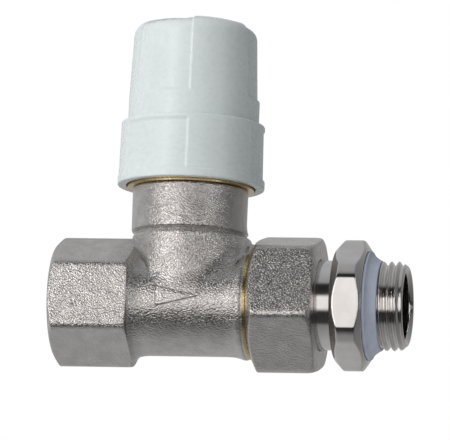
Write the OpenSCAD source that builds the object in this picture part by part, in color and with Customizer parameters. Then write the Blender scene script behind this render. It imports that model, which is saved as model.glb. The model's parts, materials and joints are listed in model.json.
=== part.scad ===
// Straight thermostatic radiator valve with a manual cap, union nut and tailpiece.
// X runs along the flow from the inlet mouth, Z runs up the neck, sizes are in millimetres.

/* [Inlet end] */
// Width across the flats of the inlet hexagon
inlet_af = 27; // [26:0.5:28]
// Length of the inlet hexagon
inlet_hex_len = 18.8; // [18:0.1:19]
// Radius of the inlet thread's crests, half inch pipe thread
inlet_thread_r = 9.32; // [9.2:0.01:9.4]
// Length of the inlet thread
inlet_thread_len = 13; // [11:0.5:14]

/* [Run and neck] */
// Radius of the run
run_r = 12.4; // [12.2:0.1:12.8]
// Distance from the inlet mouth to the neck's axis
neck_x = 30.7; // [30:0.1:32]
// Radius of the neck
neck_r = 13.6; // [13.4:0.1:14]
// Height of the neck's top above the run's axis
neck_top = 27; // [26:0.5:28]
// Height of the groove round the neck
groove_z = 15.3; // [15:0.1:16]
// Radius of the outlet shoulder
shoulder_r = 13.15; // [13:0.05:13.4]
// Distance from the neck's axis to the shoulder's end
shoulder_x = 14.9; // [14.6:0.1:15.2]
// Length of the flow arrow
arrow_len = 10.2; // [8:0.1:12]
// Width of the flow arrow
arrow_w = 5; // [4:0.1:6]

/* [Seat] */
// Radius of the seat's opening
seat_r = 5.5; // [5:0.1:5.8]
// Height of the seat's lip above the run's axis
seat_z = 3.5; // [3:0.1:4]
// Lift of the closing disc between shut and open
lift = 3; // [2:0.1:3]

/* [Headwork] */
// Radius of the bare collar under the cap
collar_r = 14.9; // [14.8:0.05:15]
// Radius of the head thread at its pitch line
head_thread_r = 14.5; // [14.4:0.05:14.6]
// Height of the head thread's end above the run's axis
head_thread_top = 36; // [35:0.1:36]
// Radius of the spindle
spindle_r = 2; // [1.8:0.1:2.2]

/* [Handwheel] */
// Height of the cap's lower edge above the run's axis
cap_z = 27.5; // [27.3:0.1:28]
// Height of the cap's top above the run's axis
cap_top = 68; // [67:0.1:69]
// Radius of the cap's lip
lip_r = 17.3; // [17.2:0.05:17.5]
// Radius of the cap's skirt at its foot
skirt_r = 17.1; // [17:0.05:17.2]
// Radius of the grip above the skirt
grip_r = 15.4; // [15.2:0.05:15.6]
// Depth of the grip's recessed sectors
recess = 0.55; // [0.3:0.05:0.8]
// Direction of the middle of one recessed sector, counterclockwise from the flow
recess_at = 6; // [0:1:119]

/* [Union] */
// Width across the flats of the union nut
nut_af = 30; // [29.5:0.5:31]
// Length of the union nut
nut_len = 15.8; // [15.6:0.1:16.2]
// Tilt of the union nut's front flat above the horizontal
nut_tilt = 14; // [0:1:30]
// Radius of the union thread at its pitch line, three quarter inch pipe thread
union_thread_r = 12.6; // [12.5:0.05:12.7]

/* [Tailpiece] */
// Outer radius of the tube
tube_r = 10.5; // [10.4:0.05:10.55]
// Radius of the tailpiece's bore
tail_bore_r = 7.9; // [7.5:0.1:8]
// Width across the flats of the tailpiece's collar
tail_af = 28.2; // [27.5:0.1:29]
// Radius that the collar's corners are turned to
tail_corner_r = 15.3; // [15:0.05:15.6]
// Length of the collar
tail_collar_len = 7.6; // [7:0.1:8]
// Turn of the collar about the run's axis
tail_turn = 5.6; // [-30:0.1:30]
// Radius of the tail thread's crests, half inch pipe thread
tail_thread_r = 10.48; // [10.4:0.01:10.5]

/* [Hidden] */
$fn = 96;
eps = 0.01;
fit = 0.05;

nickel = "#b5b1ab";
brass = "#b9985a";
steel = "#9a9da0";
rubber = "#26262a";
white_plastic = "#e2e7e6";
pale_seal = "#bcc3d6";

shoulder_end = neck_x + shoulder_x;
ring_end = shoulder_end + 1.3;
nut_x = ring_end + 0.1;
nut_end = nut_x + nut_len;
body_end = 57.5;
recess_x = 50;
recess_r = tube_r + 0.1;
outlet_r = tail_bore_r;

chamber_r = 9.6;
inlet_passage_r = 7.8;
partition_z = [-2.2, 1];
shut_gap = 0.1;
disc_z = seat_z + lift + shut_gap;
disc_t = 2.2;
disc_cup = 1.2;
disc_washer_t = 0.7;
stub_hole_r = 1.45;

land_z = 11.5;
land_r = 10;
neck_thread_z = 17;
neck_thread_r = 11;
bonnet_hex_top = head_thread_top + 2.5;
gland_hex_h = 2.5;
gland_bore_r = 5.05;
ledge_z = 31.2;
washer_t = 0.8;
crown_z = 48.6;
spring_z = [14.05, 25.95];
spindle_top = bonnet_hex_top + gland_hex_h + lift + 0.5;
plunger_top = 10.8;

tube_x = recess_x + 0.1;
tail_collar_x = 66.6;
seal_x = tail_collar_x + tail_collar_len;
seal_neck_r = 9.5;
tail_thread_x = seal_x + 3.1;
tail_end = 83.3;
snap_x = 59.2;
snap_t = 1.5;
snap_r = [9.55, 11.9];
tail_ring_x = 53.8;

// A solid of revolution about the run's axis; the outline gives radius and X.
module turned() {
    rotate([0, 90, 0]) rotate_extrude() children();
}

// A hexagonal bar along the run's axis with its flats to the front and the back.
module hex_bar(af, x, length, turn = 0) {
    rotate([turn, 0, 0]) translate([x, 0, 0]) rotate([0, 90, 0])
        cylinder(r = af / sqrt(3), h = length, $fn = 6);
}

// Points along an arc from angle a0 to angle a1 in the given number of chords.
function arc(centre, r, a0, a1, chords) = [
    for (i = [0:chords]) let (a = a0 + (a1 - a0) * i / chords) centre + r * [cos(a), sin(a)]
];

// A band of outline that swells from radius r0 at x0 to r1 at x1 along a hollow arc.
module cove(r0, x0, r1, x1, chords = 4) {
    rise = r1 - r0;
    arc_r = (pow(rise, 2) + pow(x1 - x0, 2)) / (2 * rise);
    side = sign(x1 - x0);
    sweep = acos((arc_r - rise) / arc_r);
    polygon(concat(
        [[0, x1], [0, x0]],
        [for (p = arc([0, 0], arc_r, 0, sweep, chords)) [r0 + arc_r - p[0], x0 + side * p[1]]]
    ));
}

// A ring of round section about the vertical axis of the neck.
module upright_ring(middle_r, section_r, z) {
    translate([neck_x, 0, z]) rotate_extrude() translate([middle_r, 0]) circle(r = section_r);
}

// A disc about the neck's axis with a hole.
module washer(r, hole_r, z, thickness) {
    translate([neck_x, 0, z]) difference() {
        cylinder(r = r, h = thickness);
        translate([0, 0, -eps]) cylinder(r = hole_r, h = thickness + 2 * eps);
    }
}

// Outline of the inlet hexagon's turned ends: a chamfer at the mouth, a round at the back.
module inlet_crown() {
    outer_r = inlet_af / sqrt(3) + 0.1;
    mouth_face_r = 13.2;
    chamfer = 1.4;
    back_round = 2;
    polygon([
        [0, 0], [mouth_face_r, 0], [outer_r, chamfer], [outer_r, inlet_hex_len - back_round],
        [outer_r - back_round, inlet_hex_len], [0, inlet_hex_len]
    ]);
    translate([outer_r - back_round, inlet_hex_len - back_round]) circle(r = back_round);
}

// The run from the hexagon to the outlet thread.
module run() {
    shoulder_flat = 0.7;
    hex_cove_len = 2.2;
    hex_cove_rise = 1.2;
    cove_len = 3.2;
    ring_r = shoulder_r - 0.15;
    thread_chamfer = 0.8;
    turned() {
        translate([0, 1]) square([run_r, shoulder_end - 1]);
        cove(run_r, inlet_hex_len + hex_cove_len, run_r + hex_cove_rise, inlet_hex_len);
        cove(run_r, shoulder_end - shoulder_flat - cove_len, shoulder_r,
             shoulder_end - shoulder_flat);
        translate([0, shoulder_end - shoulder_flat]) square([shoulder_r, shoulder_flat]);
        translate([0, shoulder_end - eps]) square([ring_r, ring_end - shoulder_end + eps]);
        polygon([
            [0, ring_end - 1], [union_thread_r, ring_end - 1],
            [union_thread_r, body_end - thread_chamfer],
            [union_thread_r - thread_chamfer, body_end], [0, body_end]
        ]);
    }
}

// Neck with a groove round it and a mouth for the headwork.
module neck() {
    groove_h = 1.3;
    groove_deep = 0.7;
    groove_r = groove_deep / 2 + pow(groove_h, 2) / (8 * groove_deep);
    foot_r = run_r - 0.4;
    waist_r = neck_r - 0.35;
    upper_r = neck_r - 0.1;
    top_chamfer = 0.4;
    translate([neck_x, 0, 0]) rotate_extrude() difference() {
        polygon([
            [0, 0], [foot_r, 0], [waist_r, groove_z], [upper_r, groove_z + groove_h],
            [neck_r, neck_top - top_chamfer], [neck_r - top_chamfer, neck_top], [0, neck_top]
        ]);
        translate([upper_r - 0.1 - groove_deep + groove_r, groove_z + groove_h / 2])
            circle(r = groove_r);
    }
}

// Raised arrow on the front of the run, pointing downstream.
module flow_arrow() {
    pad = 0.35;
    intersection() {
        translate([neck_x, 0, 0]) rotate([90, 0, 0]) linear_extrude(run_r + pad)
            polygon([
                [-arrow_len / 2, -arrow_w / 2], [arrow_len / 2, 0], [-arrow_len / 2, arrow_w / 2]
            ]);
        turned() square([run_r + pad, body_end]);
    }
}

// The round room inside the run, from x[0] to x[1].
module chamber(x) {
    turned() translate([0, x[0]]) square([chamber_r, x[1] - x[0]]);
}

// An outline in X and Z, wide enough to cut right across the chamber.
module side_cut(outline) {
    half_w = chamber_r + 1;
    translate([0, half_w, 0]) rotate([90, 0, 0]) linear_extrude(2 * half_w) polygon(outline);
}

// The passages to both sides of the partition that carries the seat.
module waterway() {
    mouth_chamfer = 0.8;
    thread_end = mouth_chamfer + inlet_thread_len;
    chamber_x = [15, 45];
    inlet_side = [17, 22, 37.2, 39.2];
    outlet_side = [20.4, 23.4, 39.6, 42.4];
    inlet_roof_z = 7;
    turned() {
        polygon([
            [0, -eps], [inlet_thread_r + mouth_chamfer, -eps],
            [inlet_thread_r + mouth_chamfer, 0], [inlet_thread_r, mouth_chamfer],
            [inlet_thread_r, thread_end], [inlet_passage_r, thread_end + 0.9],
            [inlet_passage_r, inlet_side[0] + 1], [0, inlet_side[0] + 1]
        ]);
        translate([0, outlet_side[3]]) square([outlet_r, body_end - outlet_side[3]]);
        translate([0, recess_x]) square([recess_r, body_end - recess_x + eps]);
    }
    intersection() {
        chamber(chamber_x);
        side_cut([
            [inlet_side[0], -chamber_r], [inlet_side[0], inlet_roof_z],
            [inlet_side[0] + 2, inlet_roof_z], [inlet_side[1], partition_z[0]],
            [inlet_side[2], partition_z[0]], [inlet_side[3], -chamber_r]
        ]);
    }
    intersection() {
        union() {
            chamber(chamber_x);
            translate([neck_x, 0, 0]) cylinder(r = chamber_r, h = land_z + eps);
        }
        side_cut([
            [outlet_side[0], land_z + 1], [outlet_side[1], partition_z[1]],
            [outlet_side[2], partition_z[1]], [outlet_side[3], -outlet_r],
            [chamber_x[1], -outlet_r], [chamber_x[1], land_z + 1]
        ]);
    }
}

module valve_body() {
    seat_wall = 1.9;
    seat_edge = 0.6;
    color(nickel) difference() {
        union() {
            difference() {
                union() {
                    intersection() {
                        hex_bar(inlet_af, 0, inlet_hex_len);
                        turned() inlet_crown();
                    }
                    run();
                    neck();
                    flow_arrow();
                }
                waterway();
                translate([neck_x, 0, land_z]) cylinder(r = land_r, h = neck_top);
                translate([neck_x, 0, neck_thread_z])
                    cylinder(r = neck_thread_r, h = neck_top);
            }
            translate([neck_x, 0, partition_z[0]])
                cylinder(r = seat_r + seat_wall, h = seat_z - partition_z[0]);
        }
        translate([neck_x, 0, partition_z[0] - 1]) cylinder(r = seat_r, h = seat_z + 4);
        translate([neck_x, 0, seat_z - seat_edge])
            cylinder(r1 = seat_r, r2 = seat_r + seat_edge, h = seat_edge);
    }
}

// Headwork: threaded into the neck, with the collar and head thread outside.
module bonnet() {
    flange_h = 1.6;
    slip = 0.02;
    chamfer = 0.8;
    hex_af = 19;
    hex_turn = 10;
    spring_room_r = 4.6;
    ring_groove = [8.4, 12.7, 2.4];
    through = bonnet_hex_top - land_z;
    color(brass) translate([neck_x, 0, 0]) difference() {
        union() {
            translate([0, 0, land_z]) cylinder(r = land_r - slip, h = 8);
            translate([0, 0, neck_thread_z + fit])
                cylinder(r = neck_thread_r - slip, h = neck_top - neck_thread_z);
            translate([0, 0, neck_top]) cylinder(r = collar_r, h = flange_h);
            rotate_extrude() polygon([
                [0, neck_top], [head_thread_r, neck_top],
                [head_thread_r, head_thread_top - chamfer],
                [head_thread_r - chamfer, head_thread_top], [0, head_thread_top]
            ]);
            rotate([0, 0, hex_turn]) translate([0, 0, head_thread_top - 1])
                cylinder(r = hex_af / sqrt(3), h = bonnet_hex_top - head_thread_top + 1, $fn = 6);
        }
        rotate_extrude() translate([ring_groove[0], ring_groove[1]])
            square([land_r, ring_groove[2]]);
        translate([0, 0, land_z - 1]) cylinder(r = spindle_r + fit, h = through);
        translate([0, 0, spring_z[0] - fit]) cylinder(r = spring_room_r, h = through);
        translate([0, 0, ledge_z]) cylinder(r = gland_bore_r, h = through);
    }
}

module bonnet_o_ring() {
    section_r = 0.77;
    color(rubber) upright_ring(land_r - 0.03 - section_r, section_r, 13.9);
}

// Screws into the headwork and holds the spindle's seal down.
module gland_nut() {
    shank_z = ledge_z + washer_t;
    hex_af = 12;
    hex_turn = 25;
    corner_r = hex_af / sqrt(3) + 0.1;
    seal_room = [3.5, 1.5];
    color(brass) translate([neck_x, 0, 0]) difference() {
        union() {
            translate([0, 0, shank_z])
                cylinder(r = gland_bore_r - fit, h = bonnet_hex_top - shank_z + 1);
            translate([0, 0, bonnet_hex_top]) intersection() {
                rotate([0, 0, hex_turn])
                    cylinder(r = hex_af / sqrt(3), h = gland_hex_h, $fn = 6);
                rotate_extrude() polygon([
                    [0, 0], [corner_r, 0], [corner_r, gland_hex_h - 0.6],
                    [corner_r - 0.8, gland_hex_h], [0, gland_hex_h]
                ]);
            }
        }
        translate([0, 0, shank_z - 1]) cylinder(r = spindle_r + fit, h = 20);
        translate([0, 0, shank_z - 1]) cylinder(r = seal_room[0], h = seal_room[1] + 1);
    }
}

module gland_washer() {
    color(steel) washer(gland_bore_r - 0.1, spindle_r + 0.1, ledge_z, washer_t);
}

module gland_o_ring() {
    section_r = 0.72;
    color(rubber)
        upright_ring(spindle_r + 0.04 + section_r, section_r, ledge_z + washer_t + 0.75);
}

// Coil spring swept as a tube; its end turns lie close together.
module return_spring() {
    wire_r = 0.45;
    mean_r = 3.6;
    turns = 8;
    steps = 18;
    sides = 8;
    count = turns * steps;
    low = spring_z[0] + wire_r;
    high = spring_z[1] - wire_r;
    closed_turn = 2.2 * wire_r;
    function rise(t) = t < 1 ? closed_turn * t
        : t > turns - 1 ? high - low - closed_turn * (turns - t)
        : closed_turn + (high - low - 2 * closed_turn) * (t - 1) / (turns - 2);
    points = [
        for (i = [0:count], j = [0:sides - 1])
            let (a = 360 * i / steps, b = 360 * j / sides, r = mean_r + wire_r * cos(b))
                [r * cos(a), r * sin(a), low + rise(i / steps) + wire_r * sin(b)]
    ];
    walls = [
        for (i = [0:count - 1], j = [0:sides - 1])
            let (k = (j + 1) % sides, a = i * sides, b = a + sides) [a + j, b + j, b + k, a + k]
    ];
    ends = [
        [for (j = [0:sides - 1]) j],
        [for (j = [sides - 1:-1:0]) count * sides + j]
    ];
    color(steel) translate([neck_x, 0, 0]) polyhedron(points, concat(walls, ends));
}

// Pin with a stub for the closing disc and a groove for its clip.
module spindle() {
    stub_r = stub_hole_r - fit;
    stub_z = 3.3;
    stub_chamfer = 0.3;
    tip_chamfer = 0.5;
    clip_groove = [1.5, spring_z[1] + fit];
    color(steel) translate([neck_x, 0, 0]) difference() {
        rotate_extrude() polygon([
            [0, stub_z], [stub_r - stub_chamfer, stub_z], [stub_r, stub_z + stub_chamfer],
            [stub_r, plunger_top], [spindle_r, plunger_top],
            [spindle_r, spindle_top - tip_chamfer],
            [spindle_r - tip_chamfer, spindle_top], [0, spindle_top]
        ]);
        rotate_extrude() translate(clip_groove) square([2, 0.8]);
    }
}

// Open retaining clip that the spring pushes up.
module spindle_clip() {
    slot_w = 2.6;
    color(steel) translate([neck_x, 0, spring_z[1] + 0.06]) linear_extrude(0.78)
        difference() {
            circle(r = 4.3);
            circle(r = 1.52);
            translate([-slot_w / 2, 0]) square([slot_w, 6]);
        }
}

// Metal cup that holds the sealing disc.
module plunger() {
    cup_r = 6.5;
    shoulder_h = 1.8;
    height = plunger_top - disc_z - disc_cup;
    color(brass) translate([neck_x, 0, disc_z]) difference() {
        translate([0, 0, disc_cup]) rotate_extrude() polygon([
            [0, 0], [cup_r, 0], [cup_r, shoulder_h], [cup_r - 1.5, height], [0, height]
        ]);
        cylinder(r = cup_r - 0.5, h = disc_t);
        cylinder(r = stub_hole_r, h = disc_cup + height + 1);
    }
}

module seat_disc() {
    color(rubber) washer(5.97, stub_hole_r, disc_z, disc_t);
}

module disc_washer() {
    color(steel) washer(3.6, stub_hole_r, disc_z - disc_washer_t, disc_washer_t);
}

module disc_nut() {
    nut_h = 2;
    hex_af = 5.5;
    color(steel) translate([neck_x, 0, disc_z - disc_washer_t - nut_h]) difference() {
        cylinder(r = hex_af / sqrt(3), h = nut_h, $fn = 6);
        translate([0, 0, -eps]) cylinder(r = stub_hole_r, h = nut_h + 1);
    }
}

// Outline of the grip's crown from base_z up: side, rounded corner and dome, in to near_r.
function crown(inset, near_r, base_z) =
    let (
        corner_r = 3,
        dome_r = 42,
        side_r = grip_r - inset,
        side_top_r = side_r - 0.6,
        corner_x = side_top_r - corner_r,
        dome_z = cap_top - inset - dome_r,
        corner_z = dome_z + sqrt(pow(dome_r - corner_r, 2) - pow(corner_x, 2)),
        touch_a = acos(corner_x / (dome_r - corner_r))
    )
    concat(
        [[side_r, base_z]],
        arc([corner_x, corner_z], corner_r, 0, touch_a, 6),
        [for (i = [1:5]) let (r = near_r + (corner_x - near_r) * (1 - i / 5))
            [r, dome_z + sqrt(pow(dome_r, 2) - pow(r, 2))]]
    );

// White cap: a lip, a skirt and a grip with three raised and three recessed sectors.
module handwheel() {
    sectors = 3;
    lip_edge = 0.3;
    lip_h = 2;
    skirt_top = 42.6;
    skirt_round = 2;
    skirt_taper = 0.2;
    skirt_recess = 0.28;
    hub_r = 3.5;
    boss_r = 6;
    boss_z = spindle_top + 1.6;
    wall_top = cap_top - 2.6;
    female_r = head_thread_r + 0.08;
    entry_r = collar_r + 0.3;
    entry_z = cap_z + 4;
    thread_z = head_thread_top + lift + 0.4;
    wall_r = [13.3, 12.9, 11.6];
    insert_r = 3;
    panel_z = [cap_z + lip_h + 0.2, skirt_top - skirt_round + 0.8];
    color(white_plastic) translate([neck_x, 0, 0]) difference() {
        rotate_extrude() polygon(concat(
            [
                [0, cap_z], [lip_r - lip_edge, cap_z], [lip_r, cap_z + lip_edge],
                [lip_r, cap_z + lip_h - lip_edge], [lip_r - lip_edge, cap_z + lip_h],
                [skirt_r, cap_z + lip_h]
            ],
            arc([skirt_r - skirt_taper - skirt_round, skirt_top - skirt_round], skirt_round, 0, 80, 5),
            [[grip_r, skirt_top]],
            crown(0, 0, skirt_top + 2)
        ));
        for (i = [0:sectors - 1])
            rotate([0, 0, recess_at - 90 / sectors + i * 360 / sectors]) {
                rotate_extrude(angle = 180 / sectors) polygon(concat(
                    crown(recess, hub_r, crown_z),
                    [[hub_r, cap_top + 1], [lip_r, cap_top + 1], [lip_r, crown_z]]
                ));
                rotate_extrude(angle = 180 / sectors) polygon([
                    [skirt_r - skirt_recess, panel_z[0]], [skirt_r + 1, panel_z[0]],
                    [skirt_r + 1, panel_z[1]], [skirt_r - skirt_taper - skirt_recess, panel_z[1]]
                ]);
            }
        rotate_extrude() polygon([
            [0, cap_z - 1], [entry_r, cap_z - 1], [entry_r, entry_z],
            [female_r, entry_z + 0.6], [female_r, thread_z], [wall_r[0], thread_z + 1.6],
            [wall_r[1], wall_top - 2.6], [wall_r[2], wall_top],
            [boss_r, wall_top], [boss_r, boss_z], [0, boss_z]
        ]);
        translate([0, 0, boss_z - 1]) cylinder(r = insert_r, h = 7);
    }
}

// Metal insert in the cap's boss that presses on the spindle.
module pressure_pad() {
    head_r = 4.2;
    head_h = 1.6;
    stem_r = 2.98;
    length = 7;
    color(brass) translate([neck_x, 0, spindle_top]) rotate_extrude() polygon([
        [0, fit], [head_r - 0.6, fit], [head_r, 0.6], [head_r, head_h], [stem_r, head_h],
        [stem_r, length], [0, length]
    ]);
}

// Hexagonal nut with a chamfer towards the body and a round towards the tail.
module union_nut() {
    outer_r = nut_af / sqrt(3) + 0.3;
    face_r = 13.3;
    chamfer_len = 2.1;
    end_round = 3.6;
    bore_r = union_thread_r + 0.08;
    hole_r = tube_r + 0.15;
    web_x = snap_x + snap_t + fit;
    color(nickel) difference() {
        intersection() {
            hex_bar(nut_af, nut_x, nut_len, -nut_tilt);
            turned() union() {
                polygon([
                    [0, nut_x], [face_r, nut_x], [outer_r, nut_x + chamfer_len],
                    [outer_r, nut_end - end_round], [outer_r - end_round, nut_end], [0, nut_end]
                ]);
                translate([outer_r - end_round, nut_end - end_round]) circle(r = end_round);
            }
        }
        turned() polygon([
            [0, nut_x - 1], [bore_r, nut_x - 1], [bore_r, web_x], [hole_r, web_x],
            [hole_r, nut_end + 1], [0, nut_end + 1]
        ]);
    }
}

// Split ring in the tailpiece's groove; the nut draws on it.
module union_snap_ring() {
    gap = 3;
    color(steel) translate([snap_x, 0, 0]) rotate([0, 90, 0]) linear_extrude(snap_t)
        difference() {
            circle(r = snap_r[1]);
            circle(r = snap_r[0]);
            translate([0, -gap / 2]) square([20, gap]);
        }
}

// Tube with a hexagonal collar and a threaded end, one turned piece.
module tailpiece() {
    face_r = [13.1, tail_corner_r - 1.9];
    chamfer_len = [2, 1.3];
    tube_chamfer = 1;
    thread_chamfer = [1.5, 1.2];
    bore_chamfer = 0.8;
    ring_groove = [8.83, 2.2];
    color(nickel) difference() {
        union() {
            turned() polygon([
                [0, tube_x], [tube_r - tube_chamfer, tube_x], [tube_r, tube_x + tube_chamfer],
                [tube_r, tail_collar_x + 1], [0, tail_collar_x + 1]
            ]);
            intersection() {
                hex_bar(tail_af, tail_collar_x, tail_collar_len, tail_turn);
                turned() polygon([
                    [0, tail_collar_x], [face_r[0], tail_collar_x],
                    [tail_corner_r, tail_collar_x + chamfer_len[0]],
                    [tail_corner_r, seal_x - chamfer_len[1]], [face_r[1], seal_x], [0, seal_x]
                ]);
            }
            turned() polygon([
                [0, seal_x - 1], [seal_neck_r, seal_x - 1], [seal_neck_r, tail_thread_x],
                [tail_thread_r, tail_thread_x], [tail_thread_r, tail_end - thread_chamfer[0]],
                [tail_thread_r - thread_chamfer[1], tail_end], [0, tail_end]
            ]);
        }
        turned() {
            translate([0, recess_x]) square([tail_bore_r, tail_end - recess_x + 1]);
            polygon([
                [0, tail_end - bore_chamfer], [tail_bore_r, tail_end - bore_chamfer],
                [tail_bore_r + bore_chamfer, tail_end],
                [tail_bore_r + bore_chamfer, tail_end + 1], [0, tail_end + 1]
            ]);
            translate([snap_r[0] - fit, snap_x - fit]) square([tube_r, snap_t + 2 * fit]);
            translate([ring_groove[0], tail_ring_x - ring_groove[1] / 2])
                square([tube_r, ring_groove[1]]);
        }
    }
}

module tail_o_ring() {
    section_r = 0.85;
    color(rubber) translate([tail_ring_x, 0, 0]) rotate([0, 90, 0]) rotate_extrude()
        translate([recess_r - fit - section_r, 0]) circle(r = section_r);
}

// Soft flared ring at the root of the tail thread.
module thread_seal() {
    flare_r = 12.8;
    rim = 0.5;
    hollow_r = 2.6;
    color(pale_seal) turned() difference() {
        polygon([
            [seal_neck_r, seal_x], [flare_r, seal_x], [flare_r, seal_x + rim],
            [tail_thread_r - fit, tail_thread_x], [seal_neck_r, tail_thread_x]
        ]);
        translate([flare_r + 1.35, tail_thread_x + 1.2]) circle(r = hollow_r);
    }
}

valve_body();
bonnet();
bonnet_o_ring();
gland_nut();
gland_washer();
gland_o_ring();
return_spring();
spindle();
spindle_clip();
plunger();
seat_disc();
disc_washer();
disc_nut();
handwheel();
pressure_pad();
union_nut();
union_snap_ring();
tailpiece();
tail_o_ring();
thread_seal();
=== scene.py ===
import json
import math

import bmesh
import bpy
import numpy as np
from mathutils import Matrix, Vector


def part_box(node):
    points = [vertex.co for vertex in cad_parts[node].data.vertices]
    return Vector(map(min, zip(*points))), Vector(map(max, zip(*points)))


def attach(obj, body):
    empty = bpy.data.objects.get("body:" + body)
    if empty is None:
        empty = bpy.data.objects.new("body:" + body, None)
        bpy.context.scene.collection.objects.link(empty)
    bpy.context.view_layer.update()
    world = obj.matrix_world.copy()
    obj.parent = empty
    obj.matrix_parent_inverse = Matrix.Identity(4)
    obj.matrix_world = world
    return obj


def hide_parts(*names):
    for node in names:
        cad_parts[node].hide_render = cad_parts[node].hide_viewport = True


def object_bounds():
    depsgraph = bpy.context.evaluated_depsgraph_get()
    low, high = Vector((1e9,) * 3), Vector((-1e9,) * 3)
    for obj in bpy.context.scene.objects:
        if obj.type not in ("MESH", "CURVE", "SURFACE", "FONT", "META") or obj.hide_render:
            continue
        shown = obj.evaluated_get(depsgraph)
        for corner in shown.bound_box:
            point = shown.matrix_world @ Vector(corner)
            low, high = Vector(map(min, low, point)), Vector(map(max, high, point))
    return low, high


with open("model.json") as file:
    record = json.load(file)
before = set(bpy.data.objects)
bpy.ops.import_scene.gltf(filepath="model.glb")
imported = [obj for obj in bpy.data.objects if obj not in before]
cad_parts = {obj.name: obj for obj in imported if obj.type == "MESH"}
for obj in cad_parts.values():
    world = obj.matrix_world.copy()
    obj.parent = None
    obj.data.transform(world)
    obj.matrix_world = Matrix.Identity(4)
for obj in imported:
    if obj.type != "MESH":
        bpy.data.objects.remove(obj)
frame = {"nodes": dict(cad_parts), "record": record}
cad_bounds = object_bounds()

# Sizes are in millimetres where a name doesn't say otherwise; meshes are written in metres.
MM = 0.001
TURN = 2 * math.pi
NODES = frame["nodes"]


def box_mm(node):
    lo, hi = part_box(node)
    return np.array(lo) / MM, np.array(hi) / MM


BODY_HI = box_mm("valve_body")[1]
NUT_LO, NUT_HI = box_mm("union_nut")
TAIL_LO, TAIL_HI = box_mm("tailpiece")
SEAL_LO, SEAL_HI = box_mm("thread_seal")
CAP_LO, CAP_HI = box_mm("handwheel")
NECK_X = (CAP_LO[0] + CAP_HI[0]) / 2
WELD_M = 1e-7

# Threads: half inch and three quarter inch pipe thread share their pitch.
PIPE_PITCH = 1.814
PIPE_DEPTH = 1.16

# Inlet hexagon, run and neck
HEX_HALF = 13.5
HEX_LEN = 18.8
RUN_R = 12.4
SHOULDER_R = 13.15
SHOULDER_END = 45.6
RING_END = 46.9
INLET_CREST_R = 9.32
NECK_TOP = BODY_HI[2]
BLEND_TOP = 21
FORGED_BLEND = 7

# Union and tail
NUT_HALF = 15
NUT_TURN = math.radians(-14)
TAIL_HALF = 14.1
TAIL_TURN = math.radians(5.6)
TUBE_R = 10.5
BORE_R = 7.9

# Cap
CAP_RECESS = 0.55
SKIRT_RECESS = 0.28
SECTOR_AT = math.radians(6)


# Mesh code

def smooth_min(a, b, k):
    """The smaller of two distances, rounded over where they differ by less than k."""
    h = np.clip(0.5 + 0.5 * (b - a) / k, 0, 1)
    return b + (a - b) * h - k * h * (1 - h)


def smooth_step(x, start, end):
    t = np.clip((x - start) / (end - start), 0, 1)
    return t * t * (3 - 2 * t)


def hex_side(angle, half_af, turn, ease):
    """Distance from the axis to a hexagon's side, with its corners rounded over."""
    sector = TURN / 6
    phase = np.mod(angle - turn + sector / 2, sector) - sector / 2
    return smooth_min(half_af / np.cos(phase), half_af / np.cos(sector - np.abs(phase)), ease)


def thread_depth(a, angle, pitch, start, end):
    """How deep a right-hand thread is at each place, from 0 on the crest to 1 in the root."""
    phase = np.mod(a / pitch - angle / TURN, 1)
    ramp = np.abs(2 * phase - 1)
    cut = 0.5 * ramp + 0.5 * ramp * ramp * (3 - 2 * ramp)
    return cut * smooth_step(a, start, start + 0.8) * (1 - smooth_step(a, end - 0.5, end))


def eased(outline, closed=True, step=0.6):
    """Corners (a, r, ease) as an outline in short steps, each corner rounded over by its ease."""
    corners = [np.array(c[:2], float) for c in outline]
    points = []
    for i, (here, (_, _, ease)) in enumerate(zip(corners, outline)):
        at_end = not closed and i in (0, len(corners) - 1)
        if ease == 0 or at_end:
            points.append(here)
            continue
        before, after = corners[i - 1] - here, corners[(i + 1) % len(corners)] - here
        lead = here + before * min(ease / np.linalg.norm(before), 0.48)
        tail = here + after * min(ease / np.linalg.norm(after), 0.48)
        for t in np.linspace(0, 1, 5):
            points.append((1 - t) ** 2 * lead + 2 * t * (1 - t) * here + t * t * tail)
    spread = []
    count = len(points) if closed else len(points) - 1
    for i in range(count):
        a, b = points[i], points[(i + 1) % len(points)]
        pieces = max(1, math.ceil(np.linalg.norm(b - a) / step))
        spread += [a + (b - a) * k / pieces for k in range(pieces)]
    if not closed:
        spread.append(points[-1])
    return np.array(spread)


def hex_columns(turn, per_side=32):
    """Angles round a hexagon that lie closer together near its corners."""
    u = np.linspace(-1, 1, per_side, endpoint=False)
    phase = np.sign(u) * (1 - (1 - np.abs(u)) ** 1.5) * TURN / 12
    return np.concatenate([turn + phase + side * TURN / 6 for side in range(6)])


def even_columns(count):
    return np.linspace(0, TURN, count, endpoint=False)


def grid_faces(rows, columns, closed):
    count = rows if closed else rows - 1
    return [
        (i * columns + j, i * columns + (j + 1) % columns,
         (i + 1) % rows * columns + (j + 1) % columns, (i + 1) % rows * columns + j)
        for i in range(count) for j in range(columns)
    ]


def along_run(a, r, t):
    return np.stack([a + 0 * t, r * np.cos(t), r * np.sin(t)], -1)


def up_neck(a, r, t):
    return np.stack([NECK_X + r * np.cos(t), r * np.sin(t), a + 0 * t], -1)


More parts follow.
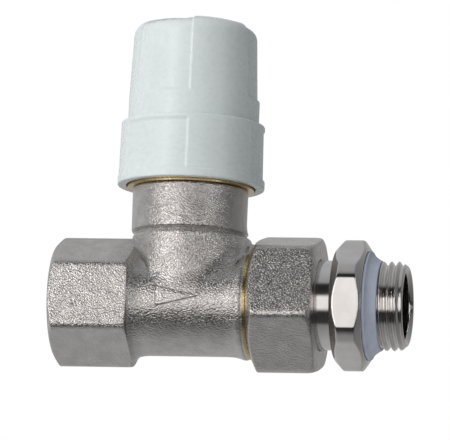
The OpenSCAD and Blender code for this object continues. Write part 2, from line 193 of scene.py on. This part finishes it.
def mesh_object(name, points, faces, finishes, picks=None):
    """A smooth-shaded object from points in millimetres; picks gives each face its finish."""
    mesh = bpy.data.meshes.new(name)
    mesh.from_pydata((np.asarray(points, float).reshape(-1, 3) * MM).tolist(), [], faces)
    for finish in finishes:
        mesh.materials.append(finish)
    if picks is not None:
        mesh.polygons.foreach_set("material_index", np.asarray(picks, np.int32))
    work = bmesh.new()
    work.from_mesh(mesh)
    bmesh.ops.remove_doubles(work, verts=work.verts, dist=WELD_M)
    bmesh.ops.recalc_face_normals(work, faces=work.faces)
    work.to_mesh(mesh)
    work.free()
    mesh.polygons.foreach_set("use_smooth", [True] * len(mesh.polygons))
    obj = bpy.data.objects.new(name, mesh)
    bpy.context.scene.collection.objects.link(obj)
    return obj


def turned(name, outline, angles, place, finishes, reshape=None, pick=None, closed=True):
    """An outline of (a, r) turned about an axis; reshape(a, r, angle) may change both."""
    a, r = outline[:, 0][:, None], outline[:, 1][:, None]
    t = angles[None, :]
    if reshape is not None:
        a, r = reshape(a, r, t)
    points = place(a + 0 * t, r + 0 * t, t)
    faces = grid_faces(len(outline), len(angles), closed)
    picks = None
    if pick is not None:
        rows = [pick(*outline[i]) for i in range(len(outline))]
        picks = [rows[f[0] // len(angles)] for f in faces]
    return mesh_object(name, points, faces, finishes, picks)


def dress(obj, body, slot, *replaced):
    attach(obj, body)
    if replaced:
        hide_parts(*replaced)
    return obj


# Materials

class Finish:
    """A Principled material with helpers for procedural nodes in object coordinates."""

    def __init__(self, name, **values):
        self.material = bpy.data.materials.new(name)
        self.material.use_nodes = True
        self.tree = self.material.node_tree
        self.shader = self.tree.nodes["Principled BSDF"]
        self.coords = self.tree.nodes.new("ShaderNodeTexCoord").outputs["Object"]
        for key, value in values.items():
            self.shader.inputs[key.replace("_", " ")].default_value = value

    def link(self, source, target):
        self.tree.links.new(source, target)

    def noise(self, grain_mm, detail=2, rough=0.5, stretch=None):
        node = self.tree.nodes.new("ShaderNodeTexNoise")
        node.inputs["Scale"].default_value = 1 / (grain_mm * MM)
        node.inputs["Detail"].default_value = detail
        node.inputs["Roughness"].default_value = rough
        source = self.coords
        if stretch is not None:
            mapping = self.tree.nodes.new("ShaderNodeMapping")
            mapping.inputs["Scale"].default_value = stretch
            self.link(self.coords, mapping.inputs["Vector"])
            source = mapping.outputs["Vector"]
        self.link(source, node.inputs["Vector"])
        return node.outputs["Fac"]

    def ramp(self, source, stops):
        node = self.tree.nodes.new("ShaderNodeValToRGB")
        ramp = node.color_ramp
        while len(ramp.elements) < len(stops):
            ramp.elements.new(0.5)
        for element, (at, colour) in zip(ramp.elements, stops):
            element.position = at
            element.color = (*colour, 1) if isinstance(colour, tuple) else (colour,) * 3 + (1,)
        self.link(source, node.inputs["Fac"])
        return node.outputs["Color"]

    def colour(self, source, stops):
        self.link(self.ramp(source, stops), self.shader.inputs["Base Color"])

    def roughness(self, source, low, high):
        self.link(self.ramp(source, [(0.3, low), (0.7, high)]), self.shader.inputs["Roughness"])

    def bumps(self, *layers):
        """Layers of (height source, height in millimetres)."""
        normal = None
        for source, height_mm in layers:
            node = self.tree.nodes.new("ShaderNodeBump")
            node.inputs["Distance"].default_value = height_mm * MM
            self.link(source, node.inputs["Height"])
            if normal is not None:
                self.link(normal, node.inputs["Normal"])
            normal = node.outputs["Normal"]
        self.link(normal, self.shader.inputs["Normal"])


def blasted_nickel():
    f = Finish("nickel_blasted", Metallic=1.0)
    f.colour(f.noise(3.5, 3), [(0.3, (0.60, 0.575, 0.555)), (0.7, (0.70, 0.68, 0.665))])
    f.roughness(f.noise(0.8, 2), 0.18, 0.25)
    f.bumps((f.noise(0.34, 1, 0.5), 0.16), (f.noise(2.6, 1), 0.08))
    return f.material


def polished_nickel():
    f = Finish("nickel_polished", Metallic=1.0)
    f.colour(f.noise(5, 2), [(0.35, (0.70, 0.675, 0.66)), (0.65, (0.76, 0.74, 0.73))])
    f.roughness(f.noise(0.25, 2, 0.5, (1, 0.08, 0.08)), 0.09, 0.17)
    f.bumps((f.noise(0.22, 1, 0.5, (1, 0.04, 0.04)), 0.004))
    return f.material


def bare_brass():
    f = Finish("bare_brass", Metallic=1.0)
    f.colour(f.noise(4, 3), [(0.35, (0.56, 0.42, 0.22)), (0.65, (0.68, 0.53, 0.28))])
    f.roughness(f.noise(0.3, 2), 0.2, 0.32)
    f.bumps((f.noise(0.25, 1, 0.5, (1, 0.1, 0.1)), 0.006))
    return f.material


def spring_steel():
    f = Finish("steel", Metallic=1.0)
    f.colour(f.noise(2, 2), [(0.35, (0.48, 0.49, 0.5)), (0.65, (0.58, 0.59, 0.6))])
    f.roughness(f.noise(0.4, 2), 0.25, 0.38)
    f.bumps((f.noise(0.3, 1), 0.005))
    return f.material


def black_rubber():
    f = Finish("rubber", Metallic=0.0)
    f.colour(f.noise(1.2, 2), [(0.3, (0.022, 0.022, 0.025)), (0.7, (0.036, 0.036, 0.04))])
    f.roughness(f.noise(0.6, 2), 0.55, 0.7)
    f.bumps((f.noise(0.35, 2), 0.012))
    return f.material


def moulded_cap():
    f = Finish("white_cap", Metallic=0.0)
    f.colour(f.noise(14, 2), [(0.3, (0.715, 0.765, 0.765)), (0.7, (0.755, 0.80, 0.80))])
    f.roughness(f.noise(1.5, 3), 0.25, 0.31)
    f.bumps((f.noise(0.5, 2), 0.002), (f.noise(9, 1), 0.02))
    return f.material


def pale_seal():
    f = Finish("seal", Metallic=0.0)
    f.colour(f.noise(2.5, 2), [(0.3, (0.50, 0.54, 0.66)), (0.7, (0.57, 0.61, 0.73))])
    f.roughness(f.noise(0.8, 2), 0.42, 0.55)
    f.bumps((f.noise(0.5, 2), 0.006))
    return f.material


FINISH = {
    "nickel_blasted": blasted_nickel(),
    "nickel_polished": polished_nickel(),
    "bare_brass": bare_brass(),
    "steel": spring_steel(),
    "rubber": black_rubber(),
    "white_cap": moulded_cap(),
    "seal": pale_seal(),
}

for part in frame["record"]["subparts"]:
    mesh = NODES[part["node"]].data
    mesh.materials.clear()
    mesh.materials.append(FINISH[part["material_slot"]])


# Forged body

CROWN_R = HEX_HALF * 2 / math.sqrt(3) + 0.1
BACK_ROUND = 2
RUN_OUTLINE = eased([
    (13.8, INLET_CREST_R, 0), (0.8, INLET_CREST_R, 0), (0, INLET_CREST_R + 0.8, 0.1),
    (0, 13.2, 0.3), (1.4, CROWN_R, 0.4), (HEX_LEN, CROWN_R, BACK_ROUND),
    (HEX_LEN, RUN_R + 1.2, 0.4), (HEX_LEN + 0.7, RUN_R + 0.45, 0.5), (HEX_LEN + 2.4, RUN_R, 1.2),
    (41.7, RUN_R, 1.4), (43.6, RUN_R + 0.25, 1), (44.9, SHOULDER_R, 0.5),
    (SHOULDER_END, SHOULDER_R, 0.15), (SHOULDER_END, SHOULDER_R - 0.15, 0),
    (RING_END, SHOULDER_R - 0.15, 0.15), (RING_END, 12.6, 0), (56.7, 12.6, 0.2),
    (BODY_HI[0], 11.8, 0.2), (BODY_HI[0], TUBE_R + 0.1, 0),
], closed=False, step=0.35)
OUTER = RUN_OUTLINE[RUN_OUTLINE[:, 1] > 11]


def run_radius(x, angle):
    """Radius of the run's skin, with the inlet hexagon's flats."""
    r = np.interp(x, OUTER[:, 0], OUTER[:, 1])
    flats = smooth_min(r, hex_side(angle, HEX_HALF, 0, 1.3), 0.5)
    return np.where(x < HEX_LEN + 1, flats, r)


def run_shape(a, r, t):
    """Flats on the hexagon, female thread in the inlet and male thread on the outlet."""
    outer = (r > 11) & (a < HEX_LEN + 1)
    flats = np.where(outer, smooth_min(r, hex_side(t, HEX_HALF, 0, 1.3), 0.5), r)
    female = (r < INLET_CREST_R + 0.01) & (a > 0.8)
    inlet = PIPE_DEPTH * thread_depth(a, t, PIPE_PITCH, 0.9, 13.6)
    male = (a > RING_END + 0.01) & (r > 12)
    outlet = PIPE_DEPTH * (0.52 - thread_depth(a, t, PIPE_PITCH, RING_END, BODY_HI[0]))
    outlet = outlet * smooth_step(a, RING_END, RING_END + 0.6) * (1 - smooth_step(a, 56.4, 57.2))
    return a, np.where(female, flats + inlet, np.where(male, flats + outlet, flats))


def neck_radius(z):
    """Radius of the neck's skin, with the groove round it."""
    line = np.interp(z, [0, 15.3, 16.6, 26.6], [12.0, 13.25, 13.5, 13.6])
    return line - 0.62 * np.exp(-((z - 15.95) / 0.45) ** 2)


def forged_gap(rho, z, angle):
    """Distance to the joined skins of run and neck, in the plane at an angle round the neck."""
    x, y = NECK_X + rho * np.cos(angle), rho * np.sin(angle)
    from_axis, around = np.hypot(y, z), np.arctan2(z, y)
    to_run = from_axis - run_radius(x, around)
    to_neck = rho - neck_radius(z)
    slope = (run_radius(x + 0.05, around) - run_radius(x - 0.05, around)) / 0.1
    facing = (y * np.sin(angle) / from_axis - slope * np.cos(angle)) / np.hypot(1, slope)
    blend = np.clip(FORGED_BLEND * (1 - facing), 1.2, FORGED_BLEND)
    return smooth_min(to_neck, to_run, blend)


def neck_grid(angles, rows=84):
    """Walks down the joined skins from the plain neck to a little way out on the run."""
    spill = 3.5
    heights = np.linspace(0.5, BLEND_TOP, 200)[:, None]
    x = NECK_X + neck_radius(heights) * np.cos(angles)
    y = neck_radius(heights) * np.sin(angles)
    inside = np.hypot(y, heights) < run_radius(x, np.arctan2(heights, y))
    crease = (heights * inside).max(0)
    step = (BLEND_TOP - crease + spill) / rows
    rho, z = neck_radius(BLEND_TOP + 0 * angles), BLEND_TOP + 0 * angles
    nudge = 0.02
    out = [np.stack([rho, z])]
    for row in range(1, rows + 1):
        for settle in range(5):
            gap = forged_gap(rho, z, angles)
            g_rho = (forged_gap(rho + nudge, z, angles) - gap) / nudge
            g_z = (forged_gap(rho, z + nudge, angles) - gap) / nudge
            size = np.hypot(g_rho, g_z)
            g_rho, g_z = g_rho / size, g_z / size
            if settle == 0:
                rho, z = rho + step * g_z, z - step * g_rho
            else:
                rho, z = rho - gap / size * g_rho, z - gap / size * g_z
        left = (rows - row) * step
        proud = 0.02 - 0.1 * (1 - smooth_step(left, 0, 1.8))
        out.append(np.stack([rho + proud * g_rho, z + proud * g_z]))
    # Beside the hexagon the neck runs straight down into it.
    plain = smooth_step(-np.cos(angles), 0.45, 0.7)
    share = np.linspace(0, 1, rows + 1)[:, None]
    down = BLEND_TOP + (crease - 1.2 - BLEND_TOP) * share
    straight = np.stack([neck_radius(down), down], 1)
    return np.array(out) * (1 - plain) + straight * plain


def forged_body():
    brass, nickel = 1, 0

    def finish_at(a, r):
        machined = a > SHOULDER_END + 0.45 or r < INLET_CREST_R + 0.9 or a < 0.02
        return brass if machined else nickel

    run = turned("run", RUN_OUTLINE, hex_columns(0), along_run,
                 [FINISH["nickel_blasted"], FINISH["bare_brass"]], run_shape, finish_at,
                 closed=False)

    angles = even_columns(216)
    skin = neck_grid(angles)[::-1]
    top = eased([
        (BLEND_TOP, neck_radius(BLEND_TOP), 0), (NECK_TOP, 13.6, 0.45), (NECK_TOP, 11, 0),
    ], closed=False, step=0.6)[1:]
    rho = np.concatenate([skin[:, 0], np.repeat(top[:, 1:], len(angles), 1)])
    z = np.concatenate([skin[:, 1], np.repeat(top[:, :1], len(angles), 1)])
    neck = mesh_object("neck", up_neck(z, rho, angles[None, :] + 0 * rho),
                       grid_faces(len(rho), len(angles), False), [FINISH["nickel_blasted"]])

    work = bmesh.new()
    work.from_mesh(run.data)
    wall_in = 11.4 * MM

    def from_neck(p):
        return math.hypot(p.x - NECK_X * MM, p.y)

    buried = [f for f in work.faces
              if f.calc_center_median().z > 0 and from_neck(f.calc_center_median()) < wall_in
              and math.hypot(f.calc_center_median().y, f.calc_center_median().z) > 11 * MM]
    bmesh.ops.delete(work, geom=buried, context="FACES")
    work.from_mesh(neck.data)

    cad = bmesh.new()
    cad.from_mesh(NODES["valve_body"].data)
    bmesh.ops.remove_doubles(cad, verts=cad.verts, dist=WELD_M)
    skin_faces = []
    for f in cad.faces:
        c = f.calc_center_median() / MM
        in_run = math.hypot(c.y, c.z) < 11.2 and 13.79 < c.x < BODY_HI[0] - 0.05
        in_neck = math.hypot(c.x - NECK_X, c.y) < 11.3 and 0 < c.z < NECK_TOP - 0.05
        if not (in_run or in_neck):
            skin_faces.append(f)
    bmesh.ops.delete(cad, geom=skin_faces, context="FACES")
    for f in cad.faces:
        f.material_index = brass
        f.smooth = False
    inner = bpy.data.meshes.new("inner")
    cad.to_mesh(inner)
    cad.free()
    work.from_mesh(inner)

    mesh = run.data
    work.to_mesh(mesh)
    work.free()
    bpy.data.objects.remove(neck)
    bpy.data.objects.remove(run)
    body = bpy.data.objects.new("forged_body", mesh)
    bpy.context.scene.collection.objects.link(body)
    return dress(body, "valve", "nickel_blasted", "valve_body")


forged_body()


def front_skin(x, z):
    """Where the joined skins lie in front of a point given from the neck's axis and the run's."""
    near, far = np.full(len(x), -RUN_R - 3), np.full(len(x), -RUN_R + 3)
    for _ in range(40):
        y = (near + far) / 2
        outside = forged_gap(np.hypot(x, y), z, np.arctan2(y, x)) > 0
        near, far = np.where(outside, y, near), np.where(outside, far, y)
    return near


def flow_arrow(length=10.0, width=4.9, lift=0.38):
    """Raised arrow on the run's front, with sloping sides and rounded corners."""
    back, tip, half = -length / 2, length / 2, width / 2
    corners = [np.array(c) for c in ((back, -half), (tip, 0), (back, half))]
    centre = sum(corners) / 3
    rim = []
    for i, here in enumerate(corners):
        before, after = corners[i - 1] - here, corners[(i + 1) % 3] - here
        lead = here + before / np.linalg.norm(before) * 0.9
        tail = here + after / np.linalg.norm(after) * 0.9
        for t in np.linspace(0, 1, 7):
            rim.append((1 - t) ** 2 * lead + 2 * t * (1 - t) * here + t * t * tail)
    rim = np.array(rim)
    rows = []
    for share, height in ((1.16, -0.35), (1.08, -0.02), (1.03, 0.2), (0.99, 0.34), (0.93, lift),
                          (0.8, lift), (0.6, lift), (0.4, lift), (0.2, lift), (0.02, lift)):
        flat = centre + (rim - centre) * share
        rows.append(np.stack([NECK_X + flat[:, 0], front_skin(*flat.T) - height, flat[:, 1]], -1))
    points = np.array(rows)
    arrow = mesh_object("flow_arrow", points, grid_faces(len(rows), len(rim), False),
                        [FINISH["nickel_blasted"]])
    return dress(arrow, "valve", "nickel_blasted")


flow_arrow()


# Union nut, tailpiece and seal

def union_nut():
    left, right = NUT_LO[0], NUT_HI[0]
    outer_r = NUT_HALF * 2 / math.sqrt(3) + 0.3
    bore_r, hole_r, web_x = 12.68, TUBE_R + 0.15, right - 2.05
    end_round = 3.6
    outline = eased([
        (left, bore_r, 0), (left, 13.3, 0.3), (left + 2.1, outer_r, 0.6),
        (right, outer_r, end_round), (right, hole_r, 0.35), (web_x, hole_r, 0), (web_x, bore_r, 0),
    ], step=0.3)

    def shape(a, r, t):
        outer = r > 12.9
        flats = np.where(outer, smooth_min(r, hex_side(t, NUT_HALF, NUT_TURN, 1.2), 0.7), r)
        threaded = (r < bore_r + 0.01) & (r > 12) & (a < web_x - 0.5)
        female = PIPE_DEPTH * (0.52 - thread_depth(a, t, PIPE_PITCH, left, web_x)) + 0.1
        female = female * smooth_step(a, left, left + 0.9)
        female = female * (1 - smooth_step(a, web_x - 1.6, web_x - 1))
        return a, np.where(threaded, flats + female, flats)

    nut = turned("union_nut_forged", outline, hex_columns(NUT_TURN), along_run,
                 [FINISH["nickel_blasted"]], shape)
    return dress(nut, "union_nut", "nickel_blasted", "union_nut")


def tailpiece():
    left, right = TAIL_LO[0], TAIL_HI[0]
    collar, seal, thread = SEAL_LO[0] - 7.6, SEAL_LO[0], SEAL_HI[0]
    crest_r, neck_r = 10.48, 9.5
    grooves = []
    for start, end, floor in ((52.7, 54.9, 8.83), (59.15, 60.75, neck_r)):
        grooves += [(start, TUBE_R, 0.1), (start, floor, 0.1), (end, floor, 0.1), (end, TUBE_R, 0.1)]
    outline = eased([
        (left, BORE_R, 0.15), (left, TUBE_R - 1, 0.15), (left + 1, TUBE_R, 0.2), *grooves,
        (collar, TUBE_R, 0.25), (collar, 13.1, 0.3), (collar + 2, 15.3, 0.3),
        (seal - 1.3, 15.3, 0.3), (seal, 13.4, 0.2), (seal, neck_r, 0.1), (thread, neck_r, 0),
        (thread + 0.1, crest_r, 0.1), (right - 1.5, crest_r, 0.4), (right, crest_r - 1.2, 0.25),
        (right, BORE_R + 0.8, 0.2), (right - 0.8, BORE_R, 0.2),
    ], step=0.22)

    def shape(a, r, t):
        collar_zone = (a > collar - 0.01) & (r > 12)
        side = hex_side(t, TAIL_HALF, TAIL_TURN, 0.3)
        flats = np.where(collar_zone, smooth_min(r, side, 0.25), r)
        threaded = (a > thread + 0.05) & (r > crest_r - 1.1)
        cut = PIPE_DEPTH * thread_depth(a, t, PIPE_PITCH, thread - 0.8, right + 0.4)
        return a, np.where(threaded, np.minimum(flats, np.maximum(crest_r - cut, neck_r)), flats)

    tail = turned("turned_tailpiece", outline, hex_columns(TAIL_TURN), along_run,
                  [FINISH["nickel_polished"]], shape)
    return dress(tail, "tail", "nickel_polished", "tailpiece")


def flared_seal():
    left, right = SEAL_LO[0], SEAL_HI[0]
    flare, hole_r = SEAL_HI[2], 9.55
    outline = eased([
        (left, hole_r, 0), (left, flare, 0.2), (left + 0.55, flare, 0.25),
        (left + 1.0, flare - 0.9, 0.5), (left + 2.0, flare - 1.75, 0.6), (right, 10.43, 0.15),
        (right, hole_r, 0),
    ], step=0.25)
    seal = turned("flared_seal", outline, even_columns(144), along_run, [FINISH["seal"]])
    return dress(seal, "tail", "seal", "thread_seal")


union_nut()
tailpiece()
flared_seal()


# Cap

def cap():
    foot, crown_top = CAP_LO[2], CAP_HI[2]
    lip_r, skirt_r, grip_r, skirt_top, crown_z = 17.3, 17.1, 15.4, 42.6, 48.6
    corner_r, dome_r = 3.4, 42
    side_top_r = grip_r - 0.6
    dome_z = crown_top - dome_r
    corner_x = side_top_r - corner_r
    corner_z = dome_z + math.sqrt((dome_r - corner_r) ** 2 - corner_x ** 2)
    touch = math.acos(corner_x / (dome_r - corner_r))
    crown = [(corner_z + corner_r * math.sin(a), corner_x + corner_r * math.cos(a), 0)
             for a in np.linspace(0, touch, 14)]
    dome = [(dome_z + math.sqrt(dome_r ** 2 - r * r), r, 0)
            for r in np.linspace(corner_x, 0.02, 24)[1:]]
    wall_top, boss_r, boss_z = crown_top - 2.6, 6, 46.1
    outline = eased([
        (foot, 15.2, 0.2), (foot, lip_r, 0.4), (foot + 2, lip_r, 0.3), (foot + 2, skirt_r - 0.02, 0.12),
        (foot + 2.1, skirt_r - 0.02, 0), (foot + 2.35, skirt_r, 0), (41.2, skirt_r - 0.2, 0),
        (41.6, skirt_r - 0.2, 0), (skirt_top, skirt_r - 0.2, 1.0), (skirt_top, grip_r, 0.2),
        (crown_z - 0.25, grip_r, 0), (crown_z + 0.1, grip_r, 0), *crown, *dome,
        (boss_z + 1, 0.02, 0), (boss_z, 3, 0.3), (boss_z, boss_r, 0.4), (wall_top, boss_r, 0.8),
        (wall_top, 11.6, 0.6), (wall_top - 2.6, 12.9, 0.5), (41, 13.3, 0.2), (39.4, 14.58, 0.1),
        (32.1, 14.58, 0.1), (31.5, 15.2, 0.1),
    ], step=0.5)
    last_outer = int(np.argmin(np.abs(outline[:, 1] - 0.02) + (outline[:, 0] < crown_top - 1) * 9))

    edge = math.radians(1.0)
    sector = TURN / 3
    near_edge = np.radians([-2.2, -1.4, -1.0, -0.5, 0, 0.5, 1.0, 1.4, 2.2])
    angles = list(even_columns(120))
    clear = math.radians(2.8)
    for side in range(3):
        for half in (-1, 1):
            at = SECTOR_AT + side * sector + half * sector / 4
            angles = [a for a in angles if abs((a - at + math.pi) % TURN - math.pi) > clear]
            angles += list((at + near_edge) % TURN)
    angles = np.sort(np.array(angles))

    tangent = np.gradient(outline[:last_outer + 1], axis=0)
    tangent /= np.linalg.norm(tangent, axis=1)[:, None] + 1e-9
    normal = np.zeros_like(outline)
    normal[:last_outer + 1] = np.stack([-tangent[:, 1], tangent[:, 0]], -1)

    def shape(a, r, t):
        off = np.abs(np.mod(t - SECTOR_AT + sector / 2, sector) - sector / 2)
        in_sector = 1 - smooth_step(off, sector / 4 - edge, sector / 4 + edge)
        grip = smooth_step(a, crown_z - 0.25, crown_z + 0.1) * smooth_step(r, 3.3, 3.7)
        skirt = smooth_step(a, foot + 2.1, foot + 2.35) * (1 - smooth_step(a, 41.2, 41.6))
        outer = np.arange(len(outline))[:, None] <= last_outer
        depth = outer * in_sector * (CAP_RECESS * grip + SKIRT_RECESS * skirt * (r > 16))
        return a - depth * normal[:, :1], r - depth * normal[:, 1:]

    piece = turned("moulded_cap", outline, angles, up_neck, [FINISH["white_cap"]], shape)
    return dress(piece, "handwheel", "white_cap", "handwheel")


cap()

# Stage, lights and camera

def link_new(name, data):
    obj = bpy.data.objects.new(name, data)
    bpy.context.scene.collection.objects.link(obj)
    return obj


def floor():
    size, height = 4.0, -0.30
    mesh = bpy.data.meshes.new("floor")
    mesh.from_pydata([(-size, -size, height), (size, -size, height), (size, size, height),
                      (-size, size, height)], [], [(0, 1, 2, 3)])
    f = Finish("floor", Roughness=0.9)
    f.colour(f.noise(400, 2), [(0.3, (0.80, 0.80, 0.80)), (0.7, (0.83, 0.83, 0.83))])
    mesh.materials.append(f.material)
    plane = link_new("floor", mesh)
    plane.visible_glossy = False
    return plane


def studio_world():
    """White behind the object; soft panels in front of it for what the metal reflects."""
    world = bpy.data.worlds.new("studio")
    bpy.context.scene.world = world
    world.use_nodes = True
    tree = world.node_tree
    tree.nodes.clear()

    def node(kind, **inputs):
        made = tree.nodes.new(kind)
        for key, value in inputs.items():
            made.inputs[key].default_value = value
        return made

    def math_node(operation, *sources):
        made = tree.nodes.new("ShaderNodeMath")
        made.operation = operation
        for i, source in enumerate(sources):
            if isinstance(source, (int, float)):
                made.inputs[i].default_value = source
            else:
                tree.links.new(source, made.inputs[i])
        return made.outputs[0]

    def bands(source, stops):
        made = tree.nodes.new("ShaderNodeValToRGB")
        ramp = made.color_ramp
        while len(ramp.elements) < len(stops):
            ramp.elements.new(0.5)
        for element, (degrees, level) in zip(ramp.elements, stops):
            element.position = (degrees + 180) / 360
            element.color = (*level, 1)
        tree.links.new(source, made.inputs["Fac"])
        return made.outputs["Color"]

    direction = node("ShaderNodeTexCoord").outputs["Generated"]
    split = node("ShaderNodeSeparateXYZ")
    tree.links.new(direction, split.inputs[0])
    x, y, z = split.outputs
    tilt = math_node("ARCTAN2", z, math_node("MULTIPLY", y, -1.0))
    tilt = math_node("ADD", math_node("DIVIDE", tilt, TURN), 0.5)

    def grey(v, warm=0.0):
        return v * (1 + warm), v, v * (1 - warm)

    reflected = bands(tilt, [
        (-180, grey(0.55)), (-120, grey(0.50)), (-62, grey(0.30)), (-54, grey(0.05)),
        (-24, grey(0.03)), (-16, grey(1.15, 0.02)), (13, grey(1.2, 0.02)), (20, grey(0.03)),
        (46, grey(0.02)), (54, grey(0.42, -0.01)), (100, grey(0.55, -0.02)), (180, grey(0.55)),
    ])
    side = node("ShaderNodeMapRange")
    side.inputs["From Min"].default_value, side.inputs["From Max"].default_value = -0.35, 1.0
    side.inputs["To Min"].default_value, side.inputs["To Max"].default_value = 1.0, 0.3
    tree.links.new(x, side.inputs["Value"])

    lit = tree.nodes.new("ShaderNodeMix")
    lit.data_type = "RGBA"
    paths = node("ShaderNodeLightPath")
    tree.links.new(paths.outputs["Is Glossy Ray"], lit.inputs[0])
    lit.inputs[6].default_value = (0.42, 0.435, 0.44, 1)
    tree.links.new(reflected, lit.inputs[7])
    shaded = node("ShaderNodeBackground")
    tree.links.new(lit.outputs[2], shaded.inputs["Color"])
    tree.links.new(side.outputs[0], shaded.inputs["Strength"])
    white = node("ShaderNodeBackground", Strength=1.0)
    white.inputs["Color"].default_value = (1, 1, 1, 1)
    seen = node("ShaderNodeMixShader")
    tree.links.new(paths.outputs["Is Camera Ray"], seen.inputs[0])
    tree.links.new(shaded.outputs[0], seen.inputs[1])
    tree.links.new(white.outputs[0], seen.inputs[2])
    tree.links.new(seen.outputs[0], node("ShaderNodeOutputWorld").inputs["Surface"])


CENTRE = (Vector(cad_bounds[0]) + Vector(cad_bounds[1])) / 2


def panel(name, azimuth, elevation, distance, width, height, power, glossy=True):
    """A soft area lamp that faces the object."""
    lamp = bpy.data.lights.new(name, "AREA")
    lamp.shape, lamp.size, lamp.size_y, lamp.energy = "RECTANGLE", width, height, power
    obj = link_new(name, lamp)
    a, e = math.radians(azimuth), math.radians(elevation)
    away = Vector((math.sin(a) * math.cos(e), -math.cos(a) * math.cos(e), math.sin(e)))
    obj.location = CENTRE + away * distance
    obj.rotation_mode = "QUATERNION"
    obj.rotation_quaternion = away.to_track_quat("Z", "Y")
    obj.visible_camera = False
    obj.visible_glossy = glossy
    return obj


def camera():
    azimuth, elevation, roll = (math.radians(v) for v in (10.5, -9.335, 2.332))
    distance, target = 1.4957, Vector((0.0391577, 0, 0.0199744))
    back = Vector((math.sin(azimuth) * math.cos(elevation), -math.cos(azimuth) * math.cos(elevation),
                   math.sin(elevation)))
    level = Vector((math.cos(azimuth), math.sin(azimuth), 0))
    rise = back.cross(level)
    right = math.cos(roll) * level + math.sin(roll) * rise
    up = -math.sin(roll) * level + math.cos(roll) * rise
    data = bpy.data.cameras.new("camera")
    data.sensor_width, data.lens = 36, 509.8
    data.clip_start, data.clip_end = 0.05, 50
    obj = bpy.data.objects.new("camera", data)
    bpy.context.scene.collection.objects.link(obj)
    spin = Matrix((right, up, back)).transposed().to_4x4()
    obj.matrix_world = Matrix.Translation(target + back * distance) @ spin
    bpy.context.scene.camera = obj


floor()
studio_world()
panel("key", -40, 30, 1.2, 0.9, 0.9, 9, glossy=False)
panel("left_strip", -36, 8, 1.2, 0.05, 0.9, 1.2)
panel("right_strip", 57, 8, 1.2, 0.05, 0.9, 0.8)
camera()
bpy.context.scene.view_settings.view_transform = "Standard"
